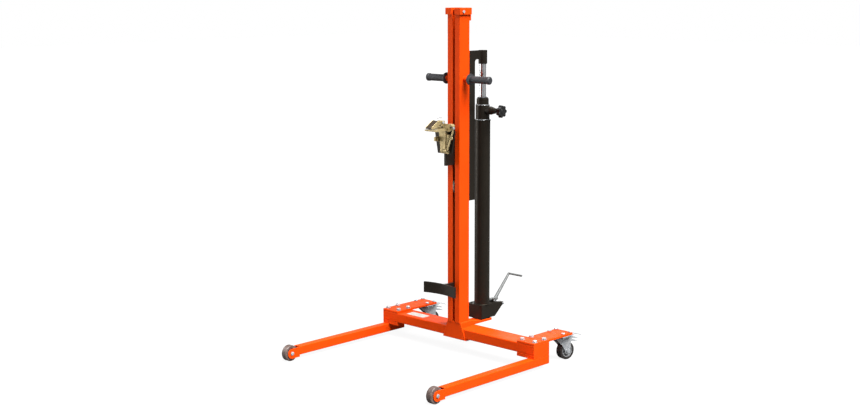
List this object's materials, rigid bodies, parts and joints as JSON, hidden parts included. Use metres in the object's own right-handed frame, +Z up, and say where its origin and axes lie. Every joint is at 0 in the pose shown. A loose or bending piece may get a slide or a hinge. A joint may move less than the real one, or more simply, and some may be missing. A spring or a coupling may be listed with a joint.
{
  "type": "hydraulic drum lifter",
  "caption": "Straddle-base foot-pumped drum lifter: slotted mast with a rim clamp and drum saddle on a sliding carriage, raised by a hydraulic cylinder behind the mast.",
  "frame": {"origin": "on the floor at the middle of the footprint: under the centre of the bounding box, in the machine's middle plane, 189.6 mm in front of the centre line of the cross beam", "axes": "+Z up along the mast, -Y forward in the direction the legs point, +X to the operator's left when standing behind the mast facing the load"},
  "size_m": [0.986, 1.0678, 1.634],
  "materials": {
    "frame_paint": "semi-gloss orange powder coat",
    "black_paint": "satin black paint",
    "zinc_steel": "bright zinc plate",
    "rod_chrome": "hard chrome",
    "grip_rubber": "matte black rubber",
    "knob_plastic": "black moulded plastic",
    "roller_nylon": "dark brown polymer",
    "guide_nylon": "off-white nylon",
    "tread": "dark elastomer tread",
    "wheel_centre": "light grey moulding",
    "lever_paint": "light grey paint",
    "label_white": "blank white plate",
    "clamp_passivated": "yellow passivated zinc",
    "beak_steel": "dark forged steel"
  },
  "bodies": {
    "chassis": {"cross_beam": "frame_paint", "beam_end_plates": "frame_paint", "left_leg": "frame_paint", "right_leg": "frame_paint", "leg_flanges": "frame_paint", "beam_feet": "frame_paint", "left_outrigger_plate": "frame_paint", "right_outrigger_plate": "frame_paint", "left_mast_channel": "frame_paint", "right_mast_channel": "frame_paint", "mast_base": "frame_paint", "front_gusset": "frame_paint", "bottom_plate": "frame_paint", "pump_plate": "frame_paint", "mast_caps": "frame_paint", "mast_tabs": "frame_paint", "handle_stubs": "frame_paint", "frame_bolts": "zinc_steel", "caster_bolts": "zinc_steel", "caster_nuts": "zinc_steel", "cap_bolts": "zinc_steel", "front_axles": "zinc_steel", "left_caster_plate": "zinc_steel", "right_caster_plate": "zinc_steel", "data_plate": "label_white", "left_grip": "grip_rubber", "right_grip": "grip_rubber", "cylinder_tube": "black_paint", "cylinder_head": "black_paint", "pump_block": "black_paint", "pump_pins": "zinc_steel"},
    "left_roller": {"left_front_roller": "roller_nylon"},
    "right_roller": {"right_front_roller": "roller_nylon"},
    "left_swivel": {"left_caster_fork": "zinc_steel", "left_caster_axle": "zinc_steel"},
    "right_swivel": {"right_caster_fork": "zinc_steel", "right_caster_axle": "zinc_steel"},
    "left_wheel": {"left_caster_rim": "wheel_centre", "left_caster_tyre": "tread"},
    "right_wheel": {"right_caster_rim": "wheel_centre", "right_caster_tyre": "tread"},
    "left_brake": {"left_brake_pedal": "zinc_steel"},
    "right_brake": {"right_brake_pedal": "zinc_steel"},
    "lift_carriage": {"carriage": "black_paint", "drum_saddle": "black_paint", "guide_axles": "zinc_steel", "piston_rod": "rod_chrome"},
    "upper_rollers": {"upper_guide_rollers": "guide_nylon"},
    "lower_rollers": {"lower_guide_rollers": "guide_nylon"},
    "clamp": {"clamp_body": "clamp_passivated", "clamp_side_link": "clamp_passivated", "clamp_bolt": "zinc_steel", "clamp_pins": "zinc_steel"},
    "jaw_beak": {"beak": "beak_steel", "beak_arm": "clamp_passivated", "beak_cheeks": "clamp_passivated", "beak_wire": "zinc_steel"},
    "release_valve": {"release_knob": "knob_plastic"},
    "pedal": {"foot_lever": "lever_paint"},
    "plunger": {"pump_plunger": "rod_chrome"}
  },
  "joints": [
    {"name": "left_roller_spin", "type": "hinge", "parent": "chassis", "child": "left_roller", "pos_m": [-0.47, -0.4964, 0.0375], "axis": [1, 0, 0], "continuous": true},
    {"name": "left_caster_swivel", "type": "hinge", "parent": "chassis", "child": "left_swivel", "pos_m": [-0.439, 0.3836, 0.112], "axis": [0, 0, 1], "continuous": true},
    {"name": "left_wheel_spin", "type": "hinge", "parent": "left_swivel", "child": "left_wheel", "pos_m": [-0.43232, 0.41796, 0.042], "axis": [0.9816, -0.1908, 0], "continuous": true},
    {"name": "left_brake_hinge", "type": "hinge", "parent": "left_swivel", "child": "left_brake", "pos_m": [-0.4306, 0.42679, 0.098], "axis": [0.9816, -0.1908, 0], "range_deg": [-10, 0]},
    {"name": "right_roller_spin", "type": "hinge", "parent": "chassis", "child": "right_roller", "pos_m": [0.47, -0.4964, 0.0375], "axis": [1, 0, 0], "continuous": true},
    {"name": "right_caster_swivel", "type": "hinge", "parent": "chassis", "child": "right_swivel", "pos_m": [0.439, 0.3836, 0.112], "axis": [0, 0, 1], "continuous": true},
    {"name": "right_wheel_spin", "type": "hinge", "parent": "right_swivel", "child": "right_wheel", "pos_m": [0.44568, 0.41796, 0.042], "axis": [0.9816, -0.1908, 0], "continuous": true},
    {"name": "right_brake_hinge", "type": "hinge", "parent": "right_swivel", "child": "right_brake", "pos_m": [0.4474, 0.42679, 0.098], "axis": [0.9816, -0.1908, 0], "range_deg": [-10, 0]},
    {"name": "lift", "type": "slide", "parent": "chassis", "child": "lift_carriage", "axis": [0, 0, 1], "range_m": [-0.135, 0.45]},
    {"name": "upper_roller_spin", "type": "hinge", "parent": "lift_carriage", "child": "upper_rollers", "pos_m": [0, 0.1601, 0.985], "axis": [1, 0, 0], "range_deg": [-273, 907]},
    {"name": "lower_roller_spin", "type": "hinge", "parent": "lift_carriage", "child": "lower_rollers", "pos_m": [0, 0.1601, 0.8], "axis": [1, 0, 0], "range_deg": [-273, 907]},
    {"name": "clamp_tilt", "type": "hinge", "parent": "lift_carriage", "child": "clamp", "pos_m": [0, 0.0636, 0.982], "axis": [1, 0, 0], "range_deg": [0, 8]},
    {"name": "beak_hinge", "type": "hinge", "parent": "clamp", "child": "jaw_beak", "pos_m": [0, 0.0416, 1.113], "axis": [1, 0, 0], "range_deg": [-40, 0]},
    {"name": "release_turn", "type": "hinge", "parent": "chassis", "child": "release_valve", "pos_m": [0.1, 0.3291, 1.151], "axis": [1, 0, 0], "range_deg": [-90, 270]},
    {"name": "pedal_hinge", "type": "hinge", "parent": "chassis", "child": "pedal", "pos_m": [0, 0.3926, 0.216], "axis": [1, 0, 0], "range_deg": [-18, 0]},
    {"name": "plunger_stroke", "type": "slide", "parent": "chassis", "child": "plunger", "axis": [0, 0, 1], "range_m": [-0.0094, 0]}
  ],
  "couplings": [
    {"joint": "upper_roller_spin", "follows": "lift", "rad_per_m": 35.149},
    {"joint": "lower_roller_spin", "follows": "lift", "rad_per_m": 35.149},
    {"joint": "plunger_stroke", "follows": "pedal_hinge", "m_per_rad": 0.0292}
  ]
}
